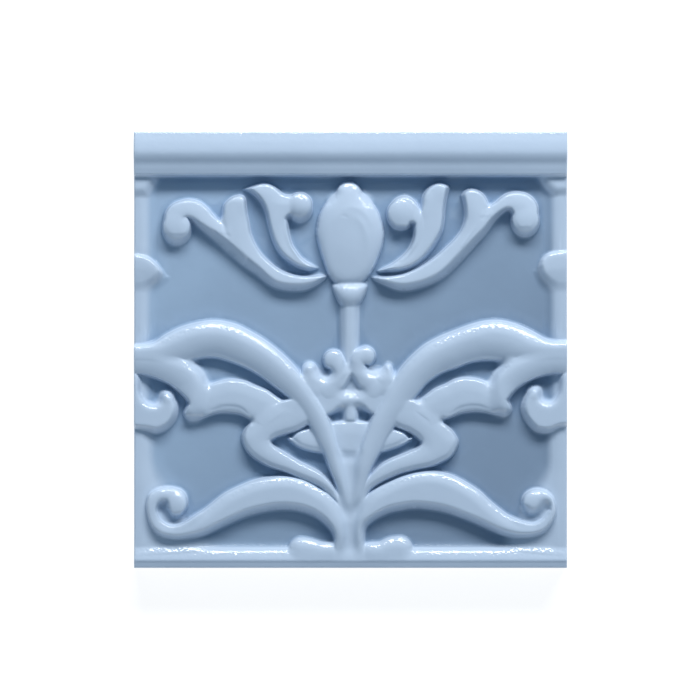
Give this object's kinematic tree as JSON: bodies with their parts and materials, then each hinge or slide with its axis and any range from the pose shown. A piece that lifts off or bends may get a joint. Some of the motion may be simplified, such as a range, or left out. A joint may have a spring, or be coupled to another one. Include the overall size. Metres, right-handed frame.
{
  "type": "relief wall tile",
  "caption": "Square glazed ceramic wall tile with a high-relief plant scroll, a bud on a stem, a moulded top rail and a rounded ledge, flat at the back.",
  "frame": {"origin": "middle of the flat back face, on the surface that the tile rests on", "axes": "+Z out of the face of the tile; +Y up the face, towards the moulded rail; +X to the right when looking at the face"},
  "size_m": [0.15, 0.151, 0.015],
  "materials": {
    "glazed_body": "glossy pale blue transparent glaze over a white fired body"
  },
  "bodies": {
    "root": {"relief_tile": "glazed_body"}
  },
  "joints": []
}
